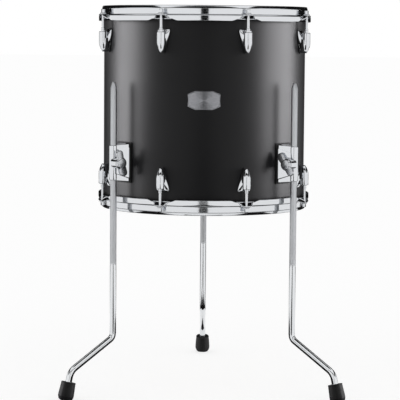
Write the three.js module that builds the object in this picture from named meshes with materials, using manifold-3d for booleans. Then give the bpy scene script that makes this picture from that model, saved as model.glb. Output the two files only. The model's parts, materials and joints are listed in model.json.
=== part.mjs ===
// Floor tom: a 16 by 15 inch drum on three bent legs that slide in clamps on its shell.
// Millimetres, +Z up. The front of the drum, with its badge, faces -Y.
// The origin is under the middle of the whole object, on the floor.
//
// A piece that is fixed to the shell is drawn in a frame of its own, which is then turned to its place:
// X runs outward from the drum's axis, Y round the shell and Z up.

import * as THREE from 'three';
import { ConvexGeometry } from 'three/addons/geometries/ConvexGeometry.js';
import { mergeVertices } from 'three/addons/utils/BufferGeometryUtils.js';
import Module from 'manifold-3d';

const wasm = await Module();
wasm.setup();

// Fits
const gap = 0.3; // between two pieces that touch
const overrun = 2; // how far a cutting body passes the face that it cuts
const overlap = 0.4; // how deep two joined bodies run into each other

// Sides of the round forms
const ringSides = 48;
const legSides = 12;
const bossSides = 14;
const rodSides = 8;
const squareSides = 4;
const noseSteps = 8; // round the front of a lug's nose

// Places round the drum, in degrees from the front
const lugCount = 8;
const legAngles = { front_left: -50, front_right: 50, back: 180 };
const ventAngle = 135;

// Shell
const shellDiameter = 406.4;
const shellDepth = 381;
const shellWall = 7.5;
const edgeRound = 2; // outer round-over of a bearing edge
const floorToBottomRim = 360;

// Drum heads
const filmThickness = 0.5;
const crimpWidth = 1.9; // how far the film turns out into its flesh hoop

// Flesh hoops
const fleshHoopWidth = 6.3;
const fleshHoopHeight = 8.7;
const fleshHoopDrop = 8.3; // from the bearing edge to the top of the flesh hoop

// Counter hoops, bent from sheet
const hoopSheet = 2.3;
const rimHeight = 12; // from the bearing edge to the top of the rim
const rimRoll = 0.9; // how far the rolled rim stands out from the hoop's wall
const rimRollHeight = 4.6;
const skirtDepth = 11; // from the flesh hoop's top to the skirt's lower edge
const shoulderRound = 2.4;

// Claw of the hoop that a tension rod pulls on
const earBaseWidth = 34;
const earTopWidth = 15;
const earReach = 8; // past the rod's axis

// Tension rods
const rodDiameter = 5.5;
const rodStandoff = 4.3; // from the hoop's skirt to the rod's axis
const washerDiameter = 13.5;
const washerThickness = 1.2;
const flangeDiameter = 11.5;
const flangeThickness = 1.6;
const rodHeadWidth = 6.3;
const rodHeadHeight = 7;
const rodHeadChamfer = 0.8;
const threadEngagement = 12;

// Lugs
const lugHeight = 45;
const lugDrop = 34.4; // from the bearing edge to the lug's top
const lugPlateWidth = 25.5;
const lugNoseWidth = 16; // across the round nose that the rod runs into
const lugNoseDrop = 5; // from the lug's top to the top of its nose
const lugNotchDepth = 23.5;
const lugTaperHeight = 16;
const lugTipReach = 1.5; // from the rod's axis to the lug's tip
const lugTipWidth = 4.5;
const lugPlateTop = 1.8; // thickness of the plate at its upper edge
const lugPadThickness = 1.2;
const lugPadMargin = 1.4;
const sleeveWall = 0.7;
const sleeveRise = 2.5; // above the lug's top

// Leg brackets
const bracketHeight = 76;
const bracketWidth = 42;
const bracketRise = 86; // from the lower bearing edge to the bracket's middle
const bracketPeakWidth = 25;
const bracketSideHeight = 58;
const bracketNoseHeight = 68;
const bracketNoseSideHeight = 40;
const bracketPadThickness = 1.5;
const bracketPadMargin = 2;
const legStandoff = 26.8; // from the shell to the leg's axis
const legBossWall = 2.1;
const screwBossDiameter = 22;
const screwBossReach = 20.5; // from the leg's axis

// Clamp jaws and wing bolts
const jawDiameter = 10.4;
const jawBack = 11.5; // from the leg's axis to the back of the jaw
const jawTravel = 3;
const screwDiameter = 8;
const hubClearance = 0.9; // between the hub and the boss it is screwed against
const hubDiameter = 24;
const hubLength = 5;
const hubDome = 3;
const wingSpan = 52;
const wingTipWidth = 15;
const wingWaistWidth = 13;
const wingThickness = 5;
const wingRoundShare = 0.7; // how round the wing tips are
const wingTilts = { front_left: 16, front_right: 39, back: 24 }; // degrees from upright

// Legs
const legDiameter = 12.7;
const legTipRise = 158; // from the bracket's middle to the leg's tip
const legTipTaper = 12;
const legTipDiameter = 6;
const legReach = 102; // how far the foot bend stands out from the upright
const legSlantDrop = 57;
const toeHeight = 56; // of the foot bend
const toeTilt = 14; // degrees from upright
const kneeRadius = 15;
const toeRadius = 26;
const bendSteps = 5;

// Rubber feet
const footHeight = 37;
const footDiameter = 32;
const footFloor = 8; // rubber under the leg's end
const footRadiusShares = [0.58, 0.86, 1, 1, 0.94, 0.87, 0.8];
const footHeightShares = [0, 0.09, 0.24, 0.36, 0.66, 0.95, 1];

// Badge
const badgeWidth = 63;
const badgeHeight = 36.5;
const badgeThickness = 1;
const badgeDrop = 170.5; // from the upper bearing edge to the badge's middle
const badgeTopShare = 0.54; // of the width, along the flat top
const badgeCornerShare = 0.66; // of the height, between the side corners
const badgeWaistShare = 0.965; // of the width, at the hollow sides

// Vent in the shell
const ventBore = 10;
const ventTubeWall = 0.8;
const ventFlangeDiameter = 18;
const ventFlangeThickness = 1.4;
const ventInnerClearance = 0.6; // between the inner flange and the shell's curve

// Heights and radii that follow
const lugStep = 360 / lugCount;
const shellRadius = shellDiameter / 2;
const shellBottom = floorToBottomRim + rimHeight;
const shellTop = shellBottom + shellDepth;
const shellMiddle = shellBottom + shellDepth / 2;
const filmInner = shellRadius + gap;
const filmOuter = filmInner + filmThickness;
const hoopInner = filmOuter + gap;
const fleshOuter = hoopInner + fleshHoopWidth;
const skirtInner = fleshOuter + gap;
const skirtOuter = skirtInner + hoopSheet;
const rodCircle = skirtOuter + rodStandoff;
const rodRadius = rodDiameter / 2;
const rodBore = rodRadius + gap;
const legAxis = shellRadius + legStandoff;
const legRadius = legDiameter / 2;

// Heights above a bearing edge, on a drum end drawn with that edge at height zero
const fleshTop = -fleshHoopDrop;
const fleshBottom = fleshTop - fleshHoopHeight;
const ledgeBottom = fleshTop + gap;
const ledgeTop = ledgeBottom + hoopSheet;
const skirtBottom = ledgeBottom - skirtDepth;
const washerBottom = ledgeTop + gap;
const lugTop = -lugDrop;
const lugBottom = lugTop - lugHeight;
const notchBottom = lugTop - lugNotchDepth;
const rodEnd = notchBottom - threadEngagement;

// Radius of the corners of a faceted cylinder whose flat sides lie at the given radius
function cornerRadius(radius, sides) {
  return radius / Math.cos(Math.PI / sides);
}

function pointsOf(pairs) {
  return pairs.map(([x, y]) => new THREE.Vector2(x, y));
}

// Right half of an outline, from its lowest point up, with the left half mirrored from it
function mirrored(rightHalf) {
  const leftHalf = rightHalf.map(([x, y]) => [-x, y]).reverse();
  return [...rightHalf, ...leftHalf];
}

// Body turned round the Z axis from [radius, height] pairs, listed upward on its outside
function turned(pairs, sides = ringSides) {
  const points = pointsOf(pairs);
  if (points[0].x > 0) points.push(points[0].clone());
  return new THREE.LatheGeometry(points, sides).rotateX(Math.PI / 2);
}

function cylinder(radius, bottom, top, sides = ringSides) {
  return turned([[0, bottom], [radius, bottom], [radius, top], [0, top]], sides);
}

function extruded(pairs, depth) {
  const shape = new THREE.Shape(pointsOf(pairs));
  return new THREE.ExtrudeGeometry(shape, { depth, bevelEnabled: false });
}

// Outline of [x, z] pairs, as thick as given along Y about the middle
function sideSlab(pairs, thickness) {
  return extruded(pairs, thickness).translate(0, 0, -thickness / 2).rotateX(Math.PI / 2);
}

// Outline of [y, z] pairs, from one distance along X to another
function faceSlab(pairs, from, to) {
  return extruded(pairs, to - from).rotateX(Math.PI / 2).rotateZ(Math.PI / 2).translate(from, 0, 0);
}

// Outline of [x, y] pairs, from one height to another
function planSlab(pairs, bottom, top) {
  return extruded(pairs, top - bottom).translate(0, 0, bottom);
}

// Closed solid of a geometry, for joining and cutting
function solidOf(geometry) {
  const bare = geometry.clone();
  bare.deleteAttribute('normal');
  bare.deleteAttribute('uv');
  const welded = mergeVertices(bare);
  const corners = Array.from(welded.index.array);
  const kept = [];
  for (let i = 0; i < corners.length; i += 3) {
    const [a, b, c] = corners.slice(i, i + 3);
    if (a !== b && b !== c && c !== a) kept.push(a, b, c);
  }
  return new wasm.Manifold(new wasm.Mesh({
    numProp: 3,
    vertProperties: new Float32Array(welded.attributes.position.array),
    triVerts: new Uint32Array(kept),
  }));
}

function geometryOf(solid) {
  const { vertProperties, triVerts } = solid.getMesh();
  const geometry = new THREE.BufferGeometry();
  geometry.setAttribute('position', new THREE.BufferAttribute(vertProperties, 3));
  geometry.setIndex(new THREE.BufferAttribute(triVerts, 1));
  geometry.computeVertexNormals();
  return geometry;
}

function joined(geometries) {
  return geometries.map(solidOf).reduce((whole, piece) => whole.add(piece));
}

function cut(solid, geometries) {
  return geometries.map(solidOf).reduce((whole, cutter) => whole.subtract(cutter), solid);
}

function common(geometries) {
  return geometries.map(solidOf).reduce((whole, piece) => whole.intersect(piece));
}

// The body of the drum, as wide as given, for seating a piece on its curved outside
function drumBody(radius) {
  return cylinder(radius, -shellDepth, shellDepth);
}

// Shell: a cylinder whose two bearing edges are rounded outside and cut at 45 degrees inside
function shellGeometry() {
  const inner = shellRadius - shellWall;
  const peak = shellRadius - edgeRound;
  const bevel = shellWall - edgeRound;
  const tube = turned([
    [peak, shellBottom],
    [shellRadius, shellBottom + edgeRound],
    [shellRadius, shellTop - edgeRound],
    [peak, shellTop],
    [inner, shellTop - bevel],
    [inner, shellBottom + bevel],
  ]);
  const ventRadius = ventBore / 2 + ventTubeWall + gap;
  const ventHole = cylinder(ventRadius, inner - overrun, shellRadius + overrun, bossSides);
  ventHole.rotateY(Math.PI / 2).translate(0, 0, shellMiddle);
  ventHole.rotateZ(turnOf(ventAngle));
  return geometryOf(cut(solidOf(tube), [ventHole]));
}

// Film head: a flat disc whose collar runs down outside the shell and turns out into the flesh hoop
function headGeometry() {
  const under = gap;
  const over = under + filmThickness;
  const crimpTop = fleshBottom + fleshHoopHeight / 3;
  const crimpEnd = filmOuter + crimpWidth;
  return turned([
    [0, under],
    [shellRadius - edgeRound, under],
    [filmInner, -edgeRound],
    [filmInner, crimpTop - filmThickness],
    [crimpEnd, crimpTop - filmThickness],
    [crimpEnd, crimpTop],
    [filmOuter, crimpTop],
    [filmOuter, -edgeRound],
    [shellRadius - edgeRound, over],
    [0, over],
  ]);
}

// Flesh hoop: a ring with a groove inside for the turned-out edge of the film
function fleshHoopGeometry() {
  const crimpTop = fleshBottom + fleshHoopHeight / 3;
  const grooveTop = crimpTop + gap;
  const grooveBottom = crimpTop - filmThickness - gap;
  const grooveEnd = filmOuter + crimpWidth + gap;
  return turned([
    [hoopInner, fleshBottom],
    [fleshOuter, fleshBottom],
    [fleshOuter, fleshTop],
    [hoopInner, fleshTop],
    [hoopInner, grooveTop],
    [grooveEnd, grooveTop],
    [grooveEnd, grooveBottom],
    [hoopInner, grooveBottom],
  ]);
}

// Bent sheet from the rolled rim down to the skirt
function hoopRing() {
  const wall = hoopInner + hoopSheet;
  const roll = wall + rimRoll;
  return turned([
    [skirtInner, skirtBottom],
    [skirtOuter, skirtBottom],
    [skirtOuter, ledgeTop - shoulderRound],
    [skirtOuter - shoulderRound, ledgeTop],
    [wall, ledgeTop],
    [wall, rimHeight - rimRollHeight],
    [roll, rimHeight - rimRollHeight + rimRoll],
    [roll, rimHeight - rimRoll],
    [wall - rimRoll, rimHeight],
    [hoopInner, rimHeight],
    [hoopInner, ledgeBottom],
    [skirtInner, ledgeBottom],
  ]);
}

// Ear: an arch of the hoop's sheet that stands out from the skirt, open in front and below
function earGeometry() {
  const height = ledgeTop - skirtBottom;
  const base = earBaseWidth / 2;
  const top = earTopWidth / 2;
  const slope = (base - top) / height;
  const innerBase = base - hoopSheet * Math.hypot(1, slope);
  const innerTop = innerBase - (height - hoopSheet) * slope;
  const arch = [
    [innerBase, skirtBottom],
    [base, skirtBottom],
    [top, ledgeTop],
    [-top, ledgeTop],
    [-base, skirtBottom],
    [-innerBase, skirtBottom],
    [-innerTop, ledgeTop - hoopSheet],
    [innerTop, ledgeTop - hoopSheet],
  ];
  const root = skirtInner + hoopSheet / 2;
  const tip = rodCircle + earReach;
  const plan = [
    [root, -base],
    [rodCircle, -(base + top) / 2],
    [tip, -top / 2],
    [tip, top / 2],
    [rodCircle, (base + top) / 2],
    [root, base],
  ];
  const archBody = faceSlab(arch, root, tip + overrun);
  const planBody = planSlab(plan, skirtBottom - overrun, ledgeTop + overrun);
  return geometryOf(common([archBody, planBody]));
}

function hoopGeometry() {
  const ears = [];
  const holes = [];
  const holeRadius = cornerRadius(rodBore, rodSides);
  for (let i = 0; i < lugCount; i += 1) {
    const turn = turnOf(lugAngle(i));
    const hole = cylinder(holeRadius, skirtBottom - overrun, ledgeTop + overrun, rodSides);
    holes.push(hole.translate(rodCircle, 0, 0).rotateZ(turn));
    ears.push(earGeometry().rotateZ(turn));
  }
  return geometryOf(cut(joined([hoopRing(), ...ears]), holes));
}

// Tension rod: threaded shank, washer and flange in one turned body, with the square head on top
function rodGeometry() {
  const washerTop = washerBottom + washerThickness;
  const flangeTop = washerTop + flangeThickness;
  const body = turned([
    [0, rodEnd],
    [rodRadius, rodEnd],
    [rodRadius, washerBottom],
    [washerDiameter / 2, washerBottom],
    [washerDiameter / 2, washerTop],
    [flangeDiameter / 2, washerTop],
    [flangeDiameter / 2, flangeTop],
    [0, flangeTop],
  ], rodSides);
  const corner = cornerRadius(rodHeadWidth / 2, squareSides);
  const headTop = flangeTop + rodHeadHeight;
  const head = turned([
    [0, flangeTop - overlap],
    [corner, flangeTop - overlap],
    [corner, headTop - rodHeadChamfer],
    [corner - rodHeadChamfer, headTop],
    [0, headTop],
  ], squareSides);
  return geometryOf(joined([body, head]));
}

// Outline of a lug seen from the front, as [half width, height] from its tip up, widened by a margin
function lugOutline(margin) {
  const tip = lugTipWidth / 2 + margin;
  const nose = lugNoseWidth / 2 + margin;
  const plate = lugPlateWidth / 2 + margin;
  const taper = lugBottom + lugTaperHeight;
  return mirrored([
    [tip, lugBottom - margin],
    [(tip + nose) / 2 + margin, lugBottom + lugTaperHeight / 3],
    [nose, taper],
    [nose, notchBottom],
    [plate, lugTop - lugTipWidth],
    [plate - margin, lugTop + margin],
  ]);
}

// Lug: a plate on the shell that runs down into the body, and a round nose about the rod with a gap behind it
function lugGeometry() {
  const inside = shellRadius - overrun;
  const plateFace = shellRadius + lugPadThickness + lugPlateTop;
  const nose = lugNoseWidth / 2;
  const noseOuter = rodCircle + nose;
  const noseTop = lugTop - lugNoseDrop;
  const sleeve = rodBore + sleeveWall;
  const profile = [
    [inside, lugBottom],
    [rodCircle + lugTipReach, lugBottom],
    [noseOuter, lugBottom + lugTaperHeight],
    [noseOuter, noseTop],
    [rodCircle - nose, noseTop],
    [rodCircle - sleeve, notchBottom],
    [plateFace, lugTop],
    [inside, lugTop],
  ];
  const shoulder = (rodCircle + plateFace) / 2;
  const plan = [
    [inside, -lugPlateWidth],
    [shoulder, -lugPlateWidth],
  ];
  for (let i = 0; i <= noseSteps; i += 1) {
    const angle = Math.PI * (i / noseSteps - 1 / 2);
    plan.push([rodCircle + nose * Math.cos(angle), nose * Math.sin(angle)]);
  }
  plan.push([shoulder, lugPlateWidth]);
  plan.push([inside, lugPlateWidth]);
  const body = common([
    sideSlab(profile, lugPlateWidth),
    faceSlab(lugOutline(0), inside, noseOuter),
    planSlab(plan, lugBottom, lugTop),
  ]);
  const seat = shellRadius + gap;
  const pad = common([
    faceSlab(lugOutline(lugPadMargin), inside, plateFace),
    drumBody(seat + lugPadThickness),
  ]);
  const sleeveTop = lugTop + sleeveRise;
  const tube = cylinder(sleeve, notchBottom - overlap, sleeveTop, rodSides);
  const bore = cylinder(cornerRadius(rodBore, rodSides), rodEnd - gap, sleeveTop + overrun, rodSides);
  tube.translate(rodCircle, 0, 0);
  bore.translate(rodCircle, 0, 0);
  return geometryOf(cut(body.add(pad).add(solidOf(tube)), [drumBody(seat), bore]));
}

// Outside of the shell's facets, whichever way they are turned
const padSeat = cornerRadius(shellRadius + gap, ringSides);
const bracketSeat = padSeat + bracketPadThickness + gap;

// Rubber pad under a bracket, curved with the shell
function bracketPadGeometry() {
  const width = bracketWidth / 2 + bracketPadMargin;
  const height = bracketHeight / 2 + bracketPadMargin;
  const outline = mirrored([
    [width - bracketPadMargin, -height],
    [width, bracketPadMargin - height],
    [width, height - bracketPadMargin],
    [width - bracketPadMargin, height],
  ]);
  const slab = faceSlab(outline, shellRadius - bracketWidth, legAxis);
  const pad = common([slab, drumBody(padSeat + bracketPadThickness)]);
  return geometryOf(cut(pad, [drumBody(padSeat)]));
}

// Eight corners of a bracket's outline at one distance from the drum's axis
function bracketCorners(x, { width, sideHeight, peakWidth, height }) {
  const pairs = mirrored([
    [peakWidth / 2, -height / 2],
    [width / 2, -sideHeight / 2],
    [width / 2, sideHeight / 2],
    [peakWidth / 2, height / 2],
  ]);
  return pairs.map(([y, z]) => new THREE.Vector3(x, y, z));
}

// Leg bracket: a faceted casting that narrows from its base to the boss round the leg,
// with a second boss on its side for the clamp screw
function bracketGeometry() {
  const boss = legRadius + gap + legBossWall;
  const base = {
    width: bracketWidth,
    sideHeight: bracketSideHeight,
    peakWidth: bracketPeakWidth,
    height: bracketHeight,
  };
  const nose = {
    width: 2 * boss,
    sideHeight: bracketNoseSideHeight,
    peakWidth: boss,
    height: bracketNoseHeight,
  };
  const casting = new ConvexGeometry([
    ...bracketCorners(shellRadius - overrun, base),
    ...bracketCorners(bracketSeat + legBossWall, base),
    ...bracketCorners(legAxis, nose),
  ]);
  const legBoss = cylinder(boss, -bracketNoseHeight / 2, bracketNoseHeight / 2, bossSides);
  legBoss.translate(legAxis, 0, 0);
  const screwBoss = cylinder(screwBossDiameter / 2, -screwBossReach, 0, bossSides);
  screwBoss.rotateX(Math.PI / 2).translate(legAxis, 0, 0);
  const legBoreRadius = cornerRadius(legRadius + gap, legSides);
  const legBore = cylinder(legBoreRadius, -bracketHeight, bracketHeight, legSides);
  legBore.translate(legAxis, 0, 0);
  const pocketRadius = cornerRadius(jawDiameter / 2 + gap, bossSides);
  const pocket = cylinder(pocketRadius, -(jawBack + jawTravel + gap), 0, bossSides);
  pocket.rotateX(Math.PI / 2).translate(legAxis, 0, 0);
  const screwRadius = cornerRadius(screwDiameter / 2 + gap, bossSides);
  const screwBore = cylinder(screwRadius, -(screwBossReach + overrun), 0, bossSides);
  screwBore.rotateX(Math.PI / 2).translate(legAxis, 0, 0);
  const body = joined([casting, legBoss, screwBoss]);
  return geometryOf(cut(body, [drumBody(bracketSeat), legBore, pocket, screwBore]));
}

// Clamp jaw: a plunger whose hollow end bears on the leg
function jawGeometry() {
  const plunger = cylinder(jawDiameter / 2, -jawBack, 0, bossSides).rotateX(Math.PI / 2);
  const hollow = cylinder(cornerRadius(legRadius + gap, legSides), -legDiameter, legDiameter, legSides);
  return geometryOf(cut(solidOf(plunger), [hollow]));
}

// Rounded wing outline with a narrower waist at the hub
function wingOutline() {
  const tip = wingTipWidth / 2;
  const waist = wingWaistWidth / 2;
  const end = wingSpan / 2;
  const upperHalf = [
    [waist, 0],
    [tip, end - wingTipWidth],
    [tip, end - tip],
    [tip * wingRoundShare, end - tip * (1 - wingRoundShare)],
    [tip * (1 - wingRoundShare), end],
  ];
  const rightHalf = [...upperHalf.slice(1).map(([x, z]) => [x, -z]).reverse(), ...upperHalf];
  return mirrored(rightHalf);
}

// Wing bolt: screw, round hub and two flat wings, with its axis along Y
function wingBoltGeometry() {
  const screwTip = jawBack + gap;
  const hubStart = screwBossReach + hubClearance;
  const hubEnd = hubStart + hubLength;
  const points = pointsOf([
    [0, screwTip],
    [screwDiameter / 2, screwTip],
    [screwDiameter / 2, hubStart],
    [hubDiameter / 2, hubStart],
    [hubDiameter / 2, hubEnd],
    [hubDiameter / 2 - hubDome, hubEnd + hubDome],
    [0, hubEnd + hubDome],
  ]);
  const body = new THREE.LatheGeometry(points, bossSides);
  const wings = sideSlab(wingOutline(), wingThickness).translate(0, hubEnd, 0);
  return geometryOf(joined([body, wings]));
}

// Path through a list of stations, with an equal share of its parameter for each stretch
class StationPath extends THREE.Curve {
  constructor(stations) {
    super();
    this.stations = stations;
  }

  getPoint(share) {
    const place = share * (this.stations.length - 1);
    const first = Math.min(Math.floor(place), this.stations.length - 2);
    return this.stations[first].clone().lerp(this.stations[first + 1], place - first);
  }

  getUtoTmapping(share) {
    return share;
  }
}

// Corner of a bent rod as an arc, from the direction it comes in to the one it goes out
function bendStations(corner, before, after, radius) {
  const turn = before.angleTo(after);
  const start = corner.clone().addScaledVector(before, -radius * Math.tan(turn / 2));
  const inward = after.clone().addScaledVector(before, -Math.cos(turn)).normalize();
  const stations = [];
  for (let i = 0; i <= bendSteps; i += 1) {
    const angle = turn * i / bendSteps;
    const station = start.clone().addScaledVector(before, radius * Math.sin(angle));
    stations.push(station.addScaledVector(inward, radius * (1 - Math.cos(angle))));
  }
  return stations;
}

// Middle of a rubber foot's base on the floor, and the direction of its axis
const toeAngle = THREE.MathUtils.degToRad(toeTilt);
const footAxis = new THREE.Vector3(-Math.sin(toeAngle), 0, Math.cos(toeAngle));
const toeCorner = new THREE.Vector3(legAxis + legReach, 0, toeHeight);
const footBase = toeCorner.clone().addScaledVector(footAxis, -toeHeight / Math.cos(toeAngle));
const bracketMiddle = shellBottom + bracketRise;
const legTip = bracketMiddle + legTipRise;

// Leg: one bent rod with a tapered upper end
function legGeometry() {
  const knee = new THREE.Vector3(legAxis, 0, toeHeight + legSlantDrop);
  const down = new THREE.Vector3(0, 0, -1);
  const slant = toeCorner.clone().sub(knee).normalize();
  const toeDown = footAxis.clone().negate();
  const stations = [
    new THREE.Vector3(legAxis, 0, legTip - legTipTaper),
    ...bendStations(knee, down, slant, kneeRadius),
    ...bendStations(toeCorner, slant, toeDown, toeRadius),
    footBase.clone().addScaledVector(footAxis, footFloor + gap),
  ];
  const section = new THREE.Shape(pointsOf(polygon(legRadius, legSides)));
  const rod = new THREE.ExtrudeGeometry(section, {
    steps: stations.length - 1,
    extrudePath: new StationPath(stations),
    bevelEnabled: false,
  });
  const taper = turned([
    [0, legTip - legTipTaper - overlap],
    [legRadius - gap, legTip - legTipTaper - overlap],
    [legRadius - gap, legTip - legTipTaper],
    [legTipDiameter / 2, legTip],
    [0, legTip],
  ], legSides);
  return geometryOf(joined([rod, taper.translate(legAxis, 0, 0)]));
}

function polygon(radius, sides) {
  return Array.from({ length: sides }, (_, i) => {
    const angle = 2 * Math.PI * i / sides;
    return [radius * Math.cos(angle), radius * Math.sin(angle)];
  });
}

// Rubber foot: a turned bulb on the leg's end, cut flat where it stands on the floor
function footGeometry() {
  const radius = footDiameter / 2;
  const outline = footRadiusShares.map((share, i) => [radius * share, footHeight * footHeightShares[i]]);
  const bulb = turned([[0, 0], ...outline, [0, footHeight]], bossSides);
  const socketRadius = cornerRadius(legRadius + gap, legSides);
  const socket = cylinder(socketRadius, footFloor, footHeight + overrun, legSides);
  const underFloor = new THREE.BoxGeometry(2 * footDiameter, 2 * footDiameter, footHeight);
  for (const piece of [bulb, socket]) {
    piece.rotateY(-toeAngle).translate(footBase.x, footBase.y, footBase.z);
  }
  underFloor.translate(footBase.x, 0, -footHeight / 2);
  return geometryOf(cut(solidOf(bulb), [socket, underFloor]));
}

// Badge: a thin plate with a flat top and bottom, sloping shoulders and slightly hollow sides
function badgeGeometry() {
  const width = badgeWidth / 2;
  const height = badgeHeight / 2;
  const outline = mirrored([
    [width * badgeTopShare, -height],
    [width, -height * badgeCornerShare],
    [width * badgeWaistShare, 0],
    [width, height * badgeCornerShare],
    [width * badgeTopShare, height],
  ]);
  const seat = shellRadius + gap;
  const slab = faceSlab(outline, shellRadius - overrun, legAxis);
  const plate = common([slab, drumBody(seat + badgeThickness)]);
  return geometryOf(cut(plate, [drumBody(seat)]));
}

// Vent grommet: a tube through the shell with a flange on each side
function grommetGeometry() {
  const flange = ventFlangeDiameter / 2;
  const innerWall = shellRadius - shellWall;
  const innerFace = Math.sqrt(innerWall ** 2 - flange ** 2) - ventInnerClearance;
  const outerFace = shellRadius + gap;
  const tube = ventBore / 2 + ventTubeWall;
  const grommet = turned([
    [ventBore / 2, innerFace - ventFlangeThickness],
    [flange, innerFace - ventFlangeThickness],
    [flange, innerFace],
    [tube, innerFace],
    [tube, outerFace],
    [flange, outerFace],
    [flange - ventTubeWall, outerFace + ventFlangeThickness],
    [ventBore / 2, outerFace + ventFlangeThickness],
  ], bossSides);
  return grommet.rotateY(Math.PI / 2);
}

// Angle of a place round the drum about Z, where the front is at -Y
function turnOf(degreesFromFront) {
  return THREE.MathUtils.degToRad(degreesFromFront - 90);
}

function lugAngle(index) {
  return lugStep / 2 + lugStep * index;
}

function finish(color, metalness, roughness) {
  return { color, metalness, roughness };
}

const chrome = finish(0xd8dade, 1, 0.08);
const satinSteel = finish(0xb4b7bb, 1, 0.35);
const blackLacquer = finish(0x17171a, 0, 0.35);
const blackRubber = finish(0x141414, 0, 0.8);
const whiteFilm = finish(0xe9e7e1, 0, 0.6);
const aluminium = finish(0xc3c5c8, 1, 0.4);
const brushedBadge = finish(0x9b9ca0, 1, 0.3);

function mesh(name, geometry, look) {
  const piece = new THREE.Mesh(geometry, new THREE.MeshStandardMaterial(look));
  piece.name = name;
  return piece;
}

// Group turned to a place round the drum
function placedAt(degreesFromFront, height, ...pieces) {
  const place = new THREE.Group();
  place.rotation.z = turnOf(degreesFromFront);
  place.position.z = height;
  place.add(...pieces);
  return place;
}

// One end of the drum: its hoop, head, flesh hoop, tension rods and lugs, about a bearing edge.
// An end that is turned over numbers its lugs the same way round the drum
function drumEnd(prefix, edgeHeight, turnedOver) {
  const end = new THREE.Group();
  const side = turnedOver ? -1 : 1;
  end.add(mesh(`${prefix}_hoop`, hoopGeometry(), chrome));
  end.add(mesh(`${prefix}_head`, headGeometry(), whiteFilm));
  end.add(mesh(`${prefix}_flesh_hoop`, fleshHoopGeometry(), aluminium));
  const rod = rodGeometry().translate(rodCircle, 0, 0);
  const lug = lugGeometry();
  for (let i = 0; i < lugCount; i += 1) {
    const rodMesh = mesh(`${prefix}_tension_rod_${i + 1}`, rod.clone(), chrome);
    const lugMesh = mesh(`${prefix}_lug_${i + 1}`, lug.clone(), chrome);
    end.add(placedAt(side * lugAngle(i), 0, rodMesh, lugMesh));
  }
  end.position.z = edgeHeight;
  if (turnedOver) end.rotation.y = Math.PI;
  return end;
}

// A leg with its bracket, clamp and foot. A bracket that is turned over has its wing bolt on the other side
function legSet(place, turnedOver) {
  const clamp = new THREE.Group();
  clamp.add(mesh(`${place}_leg_bracket`, bracketGeometry(), chrome));
  const jaw = mesh(`${place}_clamp_jaw`, jawGeometry(), satinSteel);
  const wingBolt = mesh(`${place}_wing_bolt`, wingBoltGeometry(), chrome);
  wingBolt.rotation.y = THREE.MathUtils.degToRad(wingTilts[place]);
  jaw.position.x = legAxis;
  wingBolt.position.x = legAxis;
  clamp.add(jaw, wingBolt);
  clamp.position.z = bracketMiddle;
  if (turnedOver) clamp.rotation.x = Math.PI;
  const pad = mesh(`${place}_bracket_gasket`, bracketPadGeometry(), blackRubber);
  pad.position.z = bracketMiddle;
  const leg = mesh(`${place}_leg`, legGeometry(), satinSteel);
  const foot = mesh(`${place}_rubber_foot`, footGeometry(), blackRubber);
  return placedAt(legAngles[place], 0, clamp, pad, leg, foot);
}

const drum = new THREE.Group();
drum.add(mesh('shell', shellGeometry(), blackLacquer));

drum.add(drumEnd('batter', shellTop, false), drumEnd('resonant', shellBottom, true));
drum.add(legSet('front_left', false), legSet('front_right', true), legSet('back', false));
drum.add(placedAt(0, shellTop - badgeDrop, mesh('badge', badgeGeometry(), brushedBadge)));
drum.add(placedAt(ventAngle, shellMiddle, mesh('vent_grommet', grommetGeometry(), chrome)));

// The origin goes under the middle of the whole object
const middle = new THREE.Box3().setFromObject(drum, true).getCenter(new THREE.Vector3());
drum.position.set(-middle.x, -middle.y, 0);

export default drum;
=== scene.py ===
import json
import math

import bmesh
import bpy
import numpy as np
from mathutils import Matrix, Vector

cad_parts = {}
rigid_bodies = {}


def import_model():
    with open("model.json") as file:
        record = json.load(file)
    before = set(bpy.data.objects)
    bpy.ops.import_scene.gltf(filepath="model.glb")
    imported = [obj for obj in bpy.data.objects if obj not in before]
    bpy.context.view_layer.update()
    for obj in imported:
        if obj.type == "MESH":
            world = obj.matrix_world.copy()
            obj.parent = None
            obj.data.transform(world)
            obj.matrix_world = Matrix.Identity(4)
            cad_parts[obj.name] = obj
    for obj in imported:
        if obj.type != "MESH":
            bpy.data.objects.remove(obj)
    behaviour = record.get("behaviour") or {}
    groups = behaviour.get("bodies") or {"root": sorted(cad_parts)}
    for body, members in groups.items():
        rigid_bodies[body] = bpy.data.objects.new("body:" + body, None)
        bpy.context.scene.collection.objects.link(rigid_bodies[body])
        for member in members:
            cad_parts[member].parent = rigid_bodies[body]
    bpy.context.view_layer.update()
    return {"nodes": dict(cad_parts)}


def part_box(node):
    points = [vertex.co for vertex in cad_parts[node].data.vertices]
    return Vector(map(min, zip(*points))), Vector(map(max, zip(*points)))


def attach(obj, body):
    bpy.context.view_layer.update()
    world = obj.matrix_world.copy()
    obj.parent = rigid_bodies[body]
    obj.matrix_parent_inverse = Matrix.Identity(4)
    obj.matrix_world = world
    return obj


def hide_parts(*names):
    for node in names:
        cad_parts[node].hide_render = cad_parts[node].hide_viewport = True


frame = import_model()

# Floor tom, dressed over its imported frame.
# Shapes are worked out in millimetres about the drum's own axis, with the floor at height zero.
# makePiece turns them to metres and moves them to the place of that axis in the frame.

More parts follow.
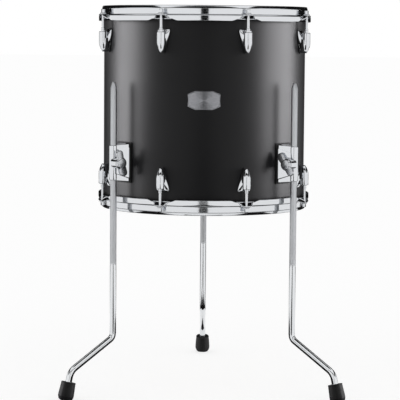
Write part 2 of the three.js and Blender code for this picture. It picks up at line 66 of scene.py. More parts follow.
shellLow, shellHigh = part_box("shell")
mm = 0.001
drumAxis = np.array([(shellLow.x + shellHigh.x) / 2, (shellLow.y + shellHigh.y) / 2, 0])
shellRadius = (shellHigh.x - shellLow.x) / 2 / mm
lowerEdge = shellLow.z / mm
upperEdge = shellHigh.z / mm
lugCount = 8
lugAngles = [(i + 0.5) * 360 / lugCount for i in range(lugCount)]  # degrees from the front
legPlaces = {"front_left": -50, "front_right": 50, "back": 180}
turnedPlace = "front_right"  # its bracket is turned over, so both front wing bolts face the middle
weldGap = 0.002  # mm, between points that are merged
print("frame loaded")


def toLinear(colour):
    parts = [int(colour[i:i + 2], 16) / 255 for i in (1, 3, 5)]
    return [c / 12.92 if c <= 0.04045 else ((c + 0.055) / 1.055) ** 2.4 for c in parts] + [1]


# Adds a node with its settings (properties or sockets by name) and its links (sockets fed by an output)
def addNode(tree, kind, settings=None, links=None):
    node = tree.nodes.new(kind)
    for key, value in (settings or {}).items():
        if isinstance(key, str) and hasattr(node, key):
            setattr(node, key, value)
        else:
            node.inputs[key].default_value = value
    for key, source in (links or {}).items():
        tree.links.new(source, node.inputs[key])
    return node


def newMaterial(name):
    material = bpy.data.materials.new(name)
    material.use_nodes = True
    material.node_tree.nodes.clear()
    return material, material.node_tree


def outputOf(tree, shader):
    addNode(tree, "ShaderNodeOutputMaterial", links={"Surface": shader.outputs[0]})


# Satin nitro lacquer over birch ply: near black, with wide soft highlights and a faint orange peel
satinLacquer = {
    "colour": "#0c0c0e",
    "thinColour": "#111113",  # where the coat is thinner
    "roughness": (0.36, 0.42),
    "specular": 0.2,
    "driftSize": 60,  # mm, of the change in the coat
    "peelSize": 3.5,  # mm
    "peelDepth": 0.004,  # mm
}


def makeSatinLacquer():
    material, tree = newMaterial("satinBlackLacquer")
    place = addNode(tree, "ShaderNodeTexCoord").outputs["Object"]
    drift = addNode(
        tree, "ShaderNodeTexNoise",
        {"Scale": 1 / (satinLacquer["driftSize"] * mm), "Detail": 3},
        {"Vector": place},
    )
    peel = addNode(
        tree, "ShaderNodeTexNoise",
        {"Scale": 1 / (satinLacquer["peelSize"] * mm), "Detail": 2},
        {"Vector": place},
    )
    tint = addNode(
        tree, "ShaderNodeMix",
        {"data_type": "RGBA", 6: toLinear(satinLacquer["colour"]), 7: toLinear(satinLacquer["thinColour"])},
        {0: drift.outputs[0]},
    )
    low, high = satinLacquer["roughness"]
    rough = addNode(tree, "ShaderNodeMapRange", {"To Min": low, "To Max": high}, {"Value": drift.outputs[0]})
    bump = addNode(
        tree, "ShaderNodeBump",
        {"Distance": satinLacquer["peelDepth"] * mm, "Strength": 1},
        {"Height": peel.outputs[0]},
    )
    shader = addNode(
        tree, "ShaderNodeBsdfPrincipled",
        {"Specular IOR Level": satinLacquer["specular"], "IOR": 1.5},
        {"Base Color": tint.outputs[2], "Roughness": rough.outputs[0], "Normal": bump.outputs[0]},
    )
    outputOf(tree, shader)
    return material


# Polished chrome plating: a bright mirror whose reflections swim a little over the pressed steel under it
chromePlate = {
    "colour": "#dcdee1", "roughness": (0.05, 0.11),
    "hazeSize": 7, "waveSize": 18, "waveDepth": 0.02,  # mm
}


def makeChrome():
    material, tree = newMaterial("polishedChrome")
    place = addNode(tree, "ShaderNodeTexCoord").outputs["Object"]
    wave = addNode(
        tree, "ShaderNodeTexNoise",
        {"Scale": 1 / (chromePlate["waveSize"] * mm), "Detail": 1},
        {"Vector": place},
    )
    haze = addNode(
        tree, "ShaderNodeTexNoise",
        {"Scale": 1 / (chromePlate["hazeSize"] * mm), "Detail": 4},
        {"Vector": place},
    )
    low, high = chromePlate["roughness"]
    rough = addNode(tree, "ShaderNodeMapRange", {"To Min": low, "To Max": high}, {"Value": haze.outputs[0]})
    bump = addNode(
        tree, "ShaderNodeBump",
        {"Distance": chromePlate["waveDepth"] * mm, "Strength": 1},
        {"Height": wave.outputs[0]},
    )
    shader = addNode(
        tree, "ShaderNodeBsdfPrincipled",
        {"Base Color": toLinear(chromePlate["colour"]), "Metallic": 1},
        {"Roughness": rough.outputs[0], "Normal": bump.outputs[0]},
    )
    outputOf(tree, shader)
    return material


# Chromed steel rod, rolled with a fine diamond knurl in its clamped length, which looks satin grey from afar
legSteel = {
    "colour": "#e2e4e6",
    "knurlColour": "#d3d5d8",
    "knurlLow": 258,  # mm above the floor, where the knurl ends
    "knurlFade": 3,
    "knurlPitch": 1.6,  # mm; a real one is near 0.8, too fine to show
    "knurlDepth": 0.12,
    "roughness": (0.10, 0.42),
}


def makeLegSteel():
    material, tree = newMaterial("knurledChromedSteel")
    place = addNode(tree, "ShaderNodeTexCoord")
    height = addNode(tree, "ShaderNodeSeparateXYZ", links={0: place.outputs["Object"]}).outputs[2]
    end = legSteel["knurlLow"]
    limits = {"From Min": (end - legSteel["knurlFade"]) * mm, "From Max": (end + legSteel["knurlFade"]) * mm}
    zone = addNode(tree, "ShaderNodeMapRange", limits, {"Value": height}).outputs[0]
    around = addNode(tree, "ShaderNodeSeparateXYZ", links={0: place.outputs["UV"]})
    step = math.pi / (legSteel["knurlPitch"] * mm)
    ridges = []
    for sign in (1, -1):
        slant = addNode(
            tree, "ShaderNodeMath",
            {"operation": "MULTIPLY_ADD", 1: sign},
            {0: around.outputs[1], 2: around.outputs[0]},
        )
        phase = addNode(tree, "ShaderNodeMath", {"operation": "MULTIPLY", 1: step}, {0: slant.outputs[0]})
        wave = addNode(tree, "ShaderNodeMath", {"operation": "SINE"}, {0: phase.outputs[0]})
        ridge = addNode(tree, "ShaderNodeMath", {"operation": "ABSOLUTE"}, {0: wave.outputs[0]})
        ridges.append(ridge.outputs[0])
    knurl = addNode(tree, "ShaderNodeMath", {"operation": "MULTIPLY"}, {0: ridges[0], 1: ridges[1]})
    relief = addNode(tree, "ShaderNodeMath", {"operation": "MULTIPLY"}, {0: knurl.outputs[0], 1: zone})
    bump = addNode(
        tree, "ShaderNodeBump",
        {"Distance": legSteel["knurlDepth"] * mm, "Strength": 1},
        {"Height": relief.outputs[0]},
    )
    tint = addNode(
        tree, "ShaderNodeMix",
        {"data_type": "RGBA", 6: toLinear(legSteel["colour"]), 7: toLinear(legSteel["knurlColour"])},
        {0: zone},
    )
    low, high = legSteel["roughness"]
    rough = addNode(tree, "ShaderNodeMapRange", {"To Min": low, "To Max": high}, {"Value": zone})
    shader = addNode(
        tree, "ShaderNodeBsdfPrincipled",
        {"Metallic": 1},
        {"Base Color": tint.outputs[2], "Roughness": rough.outputs[0], "Normal": bump.outputs[0]},
    )
    outputOf(tree, shader)
    return material


# Moulded rubber: deep grey-black, matte, with a fine moulded grain
mouldedRubber = {
    "colour": "#101010", "wornColour": "#181818", "wearSize": 14,
    "roughness": 0.62, "specular": 0.15, "grain": 0.9, "grainDepth": 0.05,
}


def makeRubber():
    material, tree = newMaterial("mouldedBlackRubber")
    place = addNode(tree, "ShaderNodeTexCoord").outputs["Object"]
    grain = addNode(
        tree, "ShaderNodeTexNoise",
        {"Scale": 1 / (mouldedRubber["grain"] * mm), "Detail": 3},
        {"Vector": place},
    )
    wear = addNode(
        tree, "ShaderNodeTexNoise",
        {"Scale": 1 / (mouldedRubber["wearSize"] * mm), "Detail": 2},
        {"Vector": place},
    )
    tint = addNode(
        tree, "ShaderNodeMix",
        {"data_type": "RGBA", 6: toLinear(mouldedRubber["colour"]), 7: toLinear(mouldedRubber["wornColour"])},
        {0: wear.outputs[0]},
    )
    bump = addNode(
        tree, "ShaderNodeBump",
        {"Distance": mouldedRubber["grainDepth"] * mm, "Strength": 1},
        {"Height": grain.outputs[0]},
    )
    shader = addNode(
        tree, "ShaderNodeBsdfPrincipled",
        {"Roughness": mouldedRubber["roughness"], "IOR": 1.52,
         "Specular IOR Level": mouldedRubber["specular"]},
        {"Base Color": tint.outputs[2], "Normal": bump.outputs[0]},
    )
    outputOf(tree, shader)
    return material


# Polyester film with a sprayed white coating: chalky, slightly warm, finely gritty under the hand
coatedFilm = {
    "colour": "#efede7", "thinColour": "#e6e4dc", "cloudSize": 45,
    "roughness": 0.7, "grit": 1.1, "gritDepth": 0.05,
}


def makeCoatedFilm():
    material, tree = newMaterial("coatedPolyesterFilm")
    place = addNode(tree, "ShaderNodeTexCoord").outputs["Object"]
    grit = addNode(
        tree, "ShaderNodeTexNoise",
        {"Scale": 1 / (coatedFilm["grit"] * mm), "Detail": 4},
        {"Vector": place},
    )
    cloud = addNode(
        tree, "ShaderNodeTexNoise",
        {"Scale": 1 / (coatedFilm["cloudSize"] * mm), "Detail": 4},
        {"Vector": place},
    )
    tint = addNode(
        tree, "ShaderNodeMix",
        {"data_type": "RGBA", 6: toLinear(coatedFilm["colour"]), 7: toLinear(coatedFilm["thinColour"])},
        {0: cloud.outputs[0]},
    )
    bump = addNode(
        tree, "ShaderNodeBump",
        {"Distance": coatedFilm["gritDepth"] * mm, "Strength": 1},
        {"Height": grit.outputs[0]},
    )
    shader = addNode(
        tree, "ShaderNodeBsdfPrincipled",
        {"Roughness": coatedFilm["roughness"], "IOR": 1.57},
        {"Base Color": tint.outputs[2], "Normal": bump.outputs[0]},
    )
    outputOf(tree, shader)
    return material


# Brushed plate: satin grey, with fine scratches that run across it
brushedPlate = {
    "colour": "#abacb0", "scratchColour": "#77787c", "roughness": (0.14, 0.28),
    "scratch": 0.35, "scratchLength": 14, "scratchDepth": 0.02,
}


def makeBrushed(name, colour, scratchColour):
    material, tree = newMaterial(name)
    place = addNode(tree, "ShaderNodeTexCoord").outputs["Object"]
    across, along = 1 / (brushedPlate["scratch"] * mm), 1 / (brushedPlate["scratchLength"] * mm)
    stretch = addNode(tree, "ShaderNodeMapping", {"Scale": (along, along, across)}, {0: place})
    scratch = addNode(tree, "ShaderNodeTexNoise", {"Scale": 1, "Detail": 3}, {"Vector": stretch.outputs[0]})
    tint = addNode(
        tree, "ShaderNodeMix",
        {"data_type": "RGBA", 6: toLinear(colour), 7: toLinear(scratchColour)},
        {0: scratch.outputs[0]},
    )
    low, high = brushedPlate["roughness"]
    rough = addNode(
        tree, "ShaderNodeMapRange",
        {"To Min": low, "To Max": high},
        {"Value": scratch.outputs[0]},
    )
    bump = addNode(
        tree, "ShaderNodeBump",
        {"Distance": brushedPlate["scratchDepth"] * mm, "Strength": 1},
        {"Height": scratch.outputs[0]},
    )
    shader = addNode(
        tree, "ShaderNodeBsdfPrincipled",
        {"Metallic": 1},
        {"Base Color": tint.outputs[2], "Roughness": rough.outputs[0], "Normal": bump.outputs[0]},
    )
    outputOf(tree, shader)
    return material


# Bare birch ply inside the shell and on its bearing edges: pale, with a soft vertical grain
birchPly = {
    "colour": "#d9bd91", "grainColour": "#b8925f", "roughness": 0.55,
    "grain": 2.2, "grainLength": 60, "grainDepth": 0.05,
}


def makeBirch():
    material, tree = newMaterial("birchPly")
    place = addNode(tree, "ShaderNodeTexCoord").outputs["Object"]
    across, along = 1 / (birchPly["grain"] * mm), 1 / (birchPly["grainLength"] * mm)
    stretch = addNode(tree, "ShaderNodeMapping", {"Scale": (across, across, along)}, {0: place})
    grain = addNode(tree, "ShaderNodeTexNoise", {"Scale": 1, "Detail": 4}, {"Vector": stretch.outputs[0]})
    tint = addNode(
        tree, "ShaderNodeMix",
        {"data_type": "RGBA", 6: toLinear(birchPly["colour"]), 7: toLinear(birchPly["grainColour"])},
        {0: grain.outputs[0]},
    )
    bump = addNode(
        tree, "ShaderNodeBump",
        {"Distance": birchPly["grainDepth"] * mm, "Strength": 1},
        {"Height": grain.outputs[0]},
    )
    shader = addNode(
        tree, "ShaderNodeBsdfPrincipled",
        {"Roughness": birchPly["roughness"], "IOR": 1.5},
        {"Base Color": tint.outputs[2], "Normal": bump.outputs[0]},
    )
    outputOf(tree, shader)
    return material


lacquer = makeSatinLacquer()
chrome = makeChrome()
steel = makeLegSteel()
rubber = makeRubber()
film = makeCoatedFilm()
plate = makeBrushed("brushedBadgePlate", brushedPlate["colour"], brushedPlate["scratchColour"])
# The flesh hoop's aluminium is coloured dark grey as painted shade, standing for the shadow inside the
# counter hoop behind each claw; plain aluminium would show bright there
aluminium = makeBrushed("aluminiumDarkenedAsShade", "#2c2d2f", "#232426")
castMetal = makeBrushed("satinDieCastMetal", "#cdcfd2", "#bcbec2")
jawSteel = makeBrushed("brightZincSteel", "#b4b7bb", "#94979c")
birch = makeBirch()
print("materials made")


# Grid of points[row, column] as vertices and quads. Its columns close round, and its rows may
def gridOf(points, closedRows=False):
    rows, columns = points.shape[:2]
    index = np.arange(rows * columns).reshape(rows, columns)
    if closedRows:
        index = np.vstack([index, index[:1]])
    index = np.hstack([index, index[:, :1]])
    corners = [index[:-1, :-1], index[:-1, 1:], index[1:, 1:], index[1:, :-1]]
    return points.reshape(-1, 3), np.stack(corners, -1).reshape(-1, 4)


# Rows of points between two more rows, which close on the middle of the first row and of the last
def capped(points):
    ends = [points[row].mean(0) + 0 * points[:1] for row in (0, -1)]
    return gridOf(np.concatenate([ends[0], points, ends[1]]))


# Path through corners [x, y, radius]. A corner's arc touches both of its sides: it starts
# radius * tan(turn / 2) before the corner, and point a of it is start + radius * (sin a, 1 - cos a)
def roundedPath(corners, steps=6, closed=False):
    points = []
    for i, (x, y, radius) in enumerate(corners):
        here = np.array([x, y], float)
        if radius == 0 or (not closed and i in (0, len(corners) - 1)):
            points.append(here)
            continue
        into = here - np.array(corners[i - 1][:2], float)
        out = np.array(corners[(i + 1) % len(corners)][:2], float) - here
        into /= np.hypot(*into)
        out /= np.hypot(*out)
        turn = math.atan2(into[0] * out[1] - into[1] * out[0], into @ out)
        side = np.array([-into[1], into[0]]) * np.sign(turn)
        start = here - into * radius * math.tan(abs(turn) / 2)
        arc = np.linspace(0, abs(turn), steps)[:, None]
        points.extend(start + radius * (np.sin(arc) * into + (1 - np.cos(arc)) * side))
    return np.array(points)


# Profile of [radius, height] carried round the Z axis: (r cos t, r sin t, h)
def turned(profile, columns=96, closed=False):
    angle = np.linspace(0, 2 * np.pi, columns, endpoint=False)
    radius, height = profile[:, :1], profile[:, 1:]
    points = np.stack([radius * np.cos(angle), radius * np.sin(angle), height + 0 * angle], -1)
    return gridOf(points, closedRows=closed)


# Points of a grid under a function of their columns x, y and z
def reshaped(grid, change):
    points, quads = grid
    return np.stack(change(*points.T), -1), quads


# A piece on the shell is drawn with X outward, Y round the shell and Z up, then turned about the drum's axis.
# Turned over, it is first given half a turn about X
def onShell(grid, degrees, height, turnedOver=False):
    turn = math.radians(degrees - 90)
    side = -1 if turnedOver else 1
    return reshaped(grid, lambda x, y, z: (
        x * math.cos(turn) - side * y * math.sin(turn),
        x * math.sin(turn) + side * y * math.cos(turn),
        side * z + height,
    ))


# Rows [inset, level] over a closed outline: each row is the outline moved inward along its normal.
# The first and last rows close on the outline's middle
def slab(outline, rows):
    tangent = np.roll(outline, -1, 0) - np.roll(outline, 1, 0)
    inward = np.stack([-tangent[:, 1], tangent[:, 0]], -1) / np.hypot(*tangent.T)[:, None]
    rings = [outline + inward * inset for inset, _ in rows]
    middle = 0 * outline + outline.mean(0)
    rings = np.array([middle, *rings, middle])
    levels = np.array([rows[0][1], *[level for _, level in rows], rows[-1][1]])
    levels = levels[:, None, None] + 0 * rings[:, :, :1]
    return gridOf(np.concatenate([rings, levels], -1))


def meshOf(name, points, quads):
    mesh = bpy.data.meshes.new(name)
    mesh.from_pydata((points * mm + drumAxis).tolist(), [], quads.tolist())
    return mesh


# Merges the doubles at the seams and poles, and turns the faces outward
def closeMesh(mesh):
    work = bmesh.new()
    work.from_mesh(mesh)
    bmesh.ops.remove_doubles(work, verts=work.verts, dist=weldGap * mm)
    bmesh.ops.recalc_face_normals(work, faces=work.faces)
    work.to_mesh(mesh)
    work.free()


def weldedMesh(name, grids):
    starts = np.cumsum([0] + [len(points) for points, _ in grids])
    vertices = np.concatenate([points for points, _ in grids])
    faces = np.concatenate([quads + start for (_, quads), start in zip(grids, starts)])
    mesh = meshOf(name, vertices, faces)
    closeMesh(mesh)
    return mesh


def addPiece(name, mesh, material, body, replaces=(), sharpAngle=40):
    mesh.polygons.foreach_set("use_smooth", np.ones(len(mesh.polygons), bool))
    mesh.set_sharp_from_angle(angle=math.radians(sharpAngle))
    mesh.materials.clear()
    mesh.materials.append(material)
    piece = bpy.data.objects.new(name, mesh)
    bpy.context.scene.collection.objects.link(piece)
    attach(piece, body)
    if replaces:
        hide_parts(*replaces)
    return piece


def makePiece(name, grids, material, body, replaces=(), sharpAngle=40):
    return addPiece(name, weldedMesh(name, grids), material, body, replaces, sharpAngle)


# Mesh of grids that may run into each other, with other grids cut out of it
def carvedMesh(name, grids, cutters):
    whole = bpy.data.objects.new(name, weldedMesh(name, grids))
    knife = bpy.data.objects.new(name + "Knife", weldedMesh(name + "Knife", cutters))
    for piece in (whole, knife):
        bpy.context.scene.collection.objects.link(piece)
    carve = whole.modifiers.new("carve", "BOOLEAN")
    carve.object = knife
    carve.operation = "DIFFERENCE"
    carve.solver = "EXACT"
    carve.use_self = True
    shapes = bpy.context.evaluated_depsgraph_get()
    mesh = bpy.data.meshes.new_from_object(whole.evaluated_get(shapes))
    mesh.name = name
    for piece in (whole, knife):
        bpy.data.objects.remove(piece)
    return mesh


# Smooth step: 3 t ** 2 - 2 t ** 3, with t held between 0 and 1
def smoothStep(value):
    value = np.clip(value, 0, 1)
    return value * value * (3 - 2 * value)


# Shell: rounded bearing edges outside, cut at 45 degrees inside
shell = {"wall": 7.5, "edgeRound": 2.0, "columns": 288, "ventRadius": 6.1, "ventAngle": 135}


def makeShell():
    inner = shellRadius - shell["wall"]
    peak = shellRadius - shell["edgeRound"]
    bevel = shell["wall"] - shell["edgeRound"]
    low, high = lowerEdge, upperEdge
    outside = roundedPath([
        (peak, low, 0), (shellRadius, low, shell["edgeRound"] * 0.95),
        (shellRadius, high, shell["edgeRound"] * 0.95), (peak, high, 0),
        (inner, high - bevel, 0), (inner, low + bevel, 0),
    ])
    vent = turned(np.array([(0, inner - 6), (shell["ventRadius"], inner - 6),
                            (shell["ventRadius"], shellRadius + 6), (0, shellRadius + 6)]), 40)
    vent = reshaped(vent, lambda x, y, z: (z, y, x))
    vent = onShell(vent, shell["ventAngle"], (low + high) / 2)
    mesh = carvedMesh("drumShell", [turned(outside, shell["columns"], closed=True)], [vent])
    addPiece("drumShell", mesh, lacquer, "drum_body", ["shell"])
    mesh.materials.append(birch)
    centres = np.zeros(len(mesh.polygons) * 3)
    mesh.polygons.foreach_get("center", centres)
    radius = np.hypot(*(centres.reshape(-1, 3) - drumAxis)[:, :2].T) / mm
    mesh.polygons.foreach_set("material_index", (radius < peak - 0.1).astype(np.int32))


makeShell()
print("shell made")


# Counter hoop, bent from one sheet. A section of it is a walk from the rim down, whose direction turns by set
# angles over set lengths. Beside a tension rod the skirt part of the walk shortens and a claw part lengthens,
# so that the sheet arches out over the rod.
hoop = {
    "sheet": 2.3,
    "inner": 1.1,  # from the shell's outside to the inside of the hoop
    "rimTop": 12.0,  # above the bearing edge
    "bead": 1.3,
    "beadLean": 2.2,  # how far the bead's outside leans in toward its top
    "beadHeight": 6.4,
    "ledgeTop": -5.7,
    "wallBend": 1.9,
    "skirtRadius": 8.85,  # from the shell's outside to the middle of the skirt's sheet
    "shoulderBend": 1.35,
    "skirtEnd": -19.0,
    "clawTop": 7.0,  # half widths of the claw
    "clawBase": 17.0,
    "clawReach": 12.3,
    "lift": 3.6,  # how far the skirt's edge rises beside a claw
    "liftFrom": 32.0,
    "sillHeight": 1.9,
}


# Angle of each section, and its distance along the hoop from the nearest rod, which is held beyond the claw
def hoopSections():
    middleRadius = shellRadius + hoop["skirtRadius"]
    sector = 2 * np.pi / lugCount
    reach = hoop["liftFrom"] + 3
    near = np.linspace(-reach, reach, 89)
    far = np.linspace(reach, sector * middleRadius - reach, 20)[1:-1]
    across = np.concatenate([near, far])
    aside = np.tile(np.abs(np.concatenate([near, 0 * far + reach])), lugCount)
    angle = np.concatenate([across / middleRadius + (i + 0.5) * sector for i in range(lugCount)]) - np.pi / 2
    return angle, aside


# Radius, height and heading of the middle of the sheet along the walk: sums of length * (cos, sin) of heading
def walkDown(aside):
    half = hoop["sheet"] / 2
    down = np.pi / 2
    ledge = hoop["ledgeTop"] - half
    rise = hoop["lift"] * smoothStep((hoop["liftFrom"] - aside) / (hoop["liftFrom"] - hoop["clawBase"] - 1))
    skirtDrop = ledge - (hoop["skirtEnd"] + half) - rise
    share = np.clip((aside - hoop["clawTop"]) / (hoop["clawBase"] - hoop["clawTop"]), 0, 1)
    share = 0.7 * share + 0.3 * smoothStep(share)
    drop = skirtDrop * share
    reach = hoop["clawReach"] * (1 - share)
    bend = hoop["shoulderBend"]
    fall = down * smoothStep(drop / (2.5 * bend))  # how far the walk turns down at the shoulder
    spread = down - down * smoothStep(reach / (2.5 * bend))  # how far down the claw's sheet still points
    wallLength = hoop["rimTop"] - half - ledge - hoop["wallBend"]
    ledgeLength = hoop["skirtRadius"] - hoop["inner"] - half - hoop["wallBend"] - bend
    zero = 0 * aside
    stretches = [
        (wallLength + zero, zero - down, zero - down, 30),
        (down * hoop["wallBend"] + zero, zero - down, zero, 7),
        (ledgeLength + zero, zero, zero, 3),
        (bend * (0.75 + fall), zero, -fall, 6),
        (np.maximum(drop - 2 * bend * fall / down, 0), -fall, -fall, 7),
        (bend * np.abs(fall - spread), -fall, -spread, 6),
        (np.maximum(reach - bend, 0.02), -spread, -spread, 6),
    ]
    lengths, middles, ends = [], [], []
    for length, start, end, steps in stretches:
        part = np.linspace(0, 1, steps + 1)[1:, None]
        lengths.append(length / steps + 0 * part)
        middles.append(start + (end - start) * (part - 0.5 / steps))
        ends.append(start + (end - start) * part)
    lengths, middles = np.concatenate(lengths), np.concatenate(middles)
    heading = np.concatenate([(zero - down)[None], *ends])
    outward = np.concatenate([zero[None], np.cumsum(lengths * np.cos(middles), 0)])
    upward = np.concatenate([zero[None], np.cumsum(lengths * np.sin(middles), 0)])
    radius = shellRadius + hoop["inner"] + half + outward
    height = hoop["rimTop"] - half + upward
    return radius, height, heading


# Sheet: half its thickness to each side of the walk, with round ends. Its bead stands out at the rim,
# and from there leans in: bead * smooth(rise) - beadLean * lean(rise), where rise is 1 at the top
def hoopGrids():
    angle, aside = hoopSections()
    radius, height, heading = walkDown(aside)
    half = hoop["sheet"] / 2
    along = np.stack([np.cos(heading), np.sin(heading)], -1)
    out = np.stack([-np.sin(heading), np.cos(heading)], -1)
    centre = np.stack([radius, height], -1)
    rise = np.clip((height - hoop["rimTop"] + hoop["beadHeight"]) / hoop["beadHeight"], 0, 0.98)
    lean = 0.8 * rise + 0.2 * (1 - np.sqrt(1 - rise ** 2))
    bulge = hoop["bead"] * smoothStep(rise / 0.15) - hoop["beadLean"] * lean
    bulge = np.where(heading > -1.5, 0, bulge)[..., None]
    outer = centre + out * (half + bulge)
    inner = centre - out * half
    arc = np.linspace(0, np.pi, 8)[1:-1, None, None]
    edge = centre[-1] + half * (np.cos(arc) * out[-1] + np.sin(arc) * along[-1])
    wide = half + bulge[0] / 2
    rim = centre[0] + out[0] * bulge[0] / 2 - wide * np.cos(arc) * out[0] - wide * np.sin(arc) * along[0]
    section = np.concatenate([outer, edge, inner[::-1], rim])
    points = np.stack([section[..., 0] * np.cos(angle), section[..., 0] * np.sin(angle), section[..., 1]], -1)
    return [gridOf(points, closedRows=True)]


# Strip of skirt that is left whole behind each rod, below the pressed-out claw
def sillGrid():
    middle = shellRadius + hoop["skirtRadius"] - 0.2
    span = np.linspace(-1, 1, 13)[:, None] * (hoop["clawBase"] + 1) / middle
    arc = np.linspace(0, 2 * np.pi, 12, endpoint=False)
    radius = middle + 0.8 * np.cos(arc)
    height = hoop["skirtEnd"] + hoop["lift"] + hoop["sillHeight"] / 2 * (1 + np.sin(arc))
    points = np.stack([radius * np.cos(span), radius * np.sin(span), height + 0 * span], -1)
    return capped(points)


def makeHoop(end, edge, turnedOver):
    side = -1 if turnedOver else 1
    grids = [reshaped(grid, lambda x, y, z: (x, y, edge + side * z)) for grid in hoopGrids()]
    grids += [onShell(sillGrid(), degrees, edge, turnedOver) for degrees in lugAngles]
    makePiece(end + "Hoop", grids, chrome, end + "_end", [end + "_hoop"], 50)


# Drum head: stretched film, with a collar that runs down outside the shell and turns out into the flesh hoop
head = {"under": 0.3, "film": 0.5, "collar": 14.1, "crimp": 1.9, "edgeRound": 2.0}


def makeHead(end, edge, turnedOver):
    side = -1 if turnedOver else 1
    inner = shellRadius + head["under"]
    outer = inner + head["film"]
    over = head["under"] + head["film"]
    bottom = -head["collar"]
    lip, low = outer + head["crimp"], bottom - head["film"]
    profile = roundedPath([
        (0, head["under"], 0), (inner, head["under"], head["edgeRound"]),
        (inner, low, 0), (lip, low, 0), (lip, bottom, 0), (outer, bottom, 0),
        (outer, over, head["edgeRound"] + head["film"]), (0, over, 0),
    ])
    grid = reshaped(turned(profile, 240), lambda x, y, z: (x, y, edge + side * z))
    makePiece(end + "DrumHead", [grid], film, end + "_end", [end + "_head"])


# Flesh hoop: a ring with a groove for the film's edge, coloured dark grey as painted shade for the shadow
# inside the counter hoop
fleshHoop = {
    "inner": 1.1, "outer": 7.4,  # from the shell's outside
    "low": -17, "high": -8.3, "grooveLow": -14.9, "grooveHigh": -13.8, "grooveDepth": 1.9,
    "innerRound": 0.6, "outerRound": 1.5,
}


def makeFleshHoop(end, edge, turnedOver):
    side = -1 if turnedOver else 1
    inner, outer = shellRadius + fleshHoop["inner"], shellRadius + fleshHoop["outer"]
    low, high = fleshHoop["low"], fleshHoop["high"]
    grooveLow, grooveHigh = fleshHoop["grooveLow"], fleshHoop["grooveHigh"]
    bed = inner + fleshHoop["grooveDepth"]
    tight, soft = fleshHoop["innerRound"], fleshHoop["outerRound"]
    profile = roundedPath([
        (inner, low, tight), (outer, low, soft), (outer, high, soft), (inner, high, tight),
        (inner, grooveHigh, 0), (bed, grooveHigh, 0), (bed, grooveLow, 0), (inner, grooveLow, 0),
    ], closed=True)
    grid = reshaped(turned(profile, 240, closed=True), lambda x, y, z: (x, y, edge + side * z))
    makePiece(end + "FleshHoop", [grid], aluminium, end + "_end", [end + "_flesh_hoop"])


# Tension rod: a threaded shank, washer, flange and square head, on the axis of its hole
rod = {
    "circle": 14.3,  # from the shell's outside to the rod's axis
    "radius": 2.75, "thread": 0.32, "pitch": 1.06, "threadTop": -44, "end": -69.9,
    "washerBottom": -5.4, "washer": (6.75, 1.2), "flange": (5.75, 1.6),
    "head": 6.3, "headHeight": 7.0, "headRound": 0.9,
}


# Thread: radius - depth * (1 - cos(turn)) / 2, where turn grows by a full circle for each pitch of height
def rodGrids():
    angle = np.linspace(0, 2 * np.pi, 20, endpoint=False)
    height = np.arange(rod["end"], rod["threadTop"], rod["pitch"] / 6)[:, None]
    fade = np.clip((height - rod["end"]) / 1.5, 0, 1) * np.clip((rod["threadTop"] - height) / 2, 0, 1)
    groove = rod["thread"] * (1 - np.cos(2 * np.pi * height / rod["pitch"] - angle)) / 2
    radius = rod["radius"] - groove * fade
    smooth = np.array([(rod["radius"], rod["threadTop"]), (rod["radius"], rod["washerBottom"])])
    radius = np.concatenate([0 * angle[None], np.maximum(radius - (height < rod["end"] + 0.4) * 0.5, 0),
                             smooth[:, :1] + 0 * angle])
    height = np.concatenate([height[:1], height, smooth[:, 1:]])
    shank = gridOf(np.stack([radius * np.cos(angle), radius * np.sin(angle), height + 0 * angle], -1))
    base = rod["washerBottom"]
    washerRadius, washerHeight = rod["washer"]
    flangeRadius, flangeHeight = rod["flange"]
    washer = turned(roundedPath([
        (0, base, 0), (washerRadius, base, 0.4), (washerRadius, base + washerHeight, 0.5),
        (0, base + washerHeight, 0),
    ], 4), 40)
    base += washerHeight
    flange = turned(roundedPath([
        (0, base, 0), (flangeRadius, base, 0.3), (flangeRadius, base + flangeHeight, 0.9),
        (0, base + flangeHeight + 0.3, 0),
    ], 5), 40)
    base += flangeHeight - 0.2
    half = rod["head"] / 2
    corners = [(half, -half, 0.7), (half, half, 0.7), (-half, half, 0.7), (-half, -half, 0.7)]
    outline = roundedPath(corners, 5, closed=True)
    top, edge = rod["headHeight"] + 0.2, rod["headRound"]
    arc = np.linspace(0, np.pi / 2, 5)
    rows = [(0, base), *[(edge * (1 - math.cos(a)), base + top - edge + edge * math.sin(a)) for a in arc]]
    return [shank, washer, flange, slab(outline, rows)]


# Lug: a leaf that lies on the shell and runs down into a solid body, and a round nose about the rod.
# Going up from its tip the half width grows as a power of the height, which gives the rounded tip
lug = {
    "tip": -79.4, "noseTop": -39.4, "leafTop": -34.4, "notch": -57.9,
    "nose": 8.0, "tipLength": 16.0, "tipPower": 0.42, "tipReach": 1.5,
    "leafHalf": 12.75, "leafPower": 0.75, "leafCorner": 3.0,
    "leafThick": 3.1, "leafFoot": 13.2,  # the leaf's front at its top and foot, from the shell's outside
    "leafSection": 1.35, "bodySection": 2,  # powers of the two sections
    "back": 1.45, "topRound": 1.4,
    "gasket": 1.2, "gasketMargin": 1.4,
    "sleeve": (3.05, 3.7), "sleeveTop": -31.9,
}


# Section of the lug at each height: x = middle + reach * cos t ** (2 / power) and
# y = half * sin t ** (2 / power). The reach runs to the front or to the back, and both powers keep the sign
def lugSections(height, back, middle, front, half, power):
    turn = np.linspace(0, 2 * np.pi, 48, endpoint=False)
    cosine, sine = np.cos(turn), np.sin(turn)
    cosine = np.sign(cosine) * np.abs(cosine) ** (2 / power)
    sine = np.sign(sine) * np.abs(sine) ** (2 / power)
    back, middle, front, half, height = (v[:, None] for v in (back, middle, front, half, height))
    x = middle + np.where(cosine > 0, front - middle, middle - back) * cosine
    points = np.stack([x, half * sine, height + 0 * x], -1)
    return capped(points)


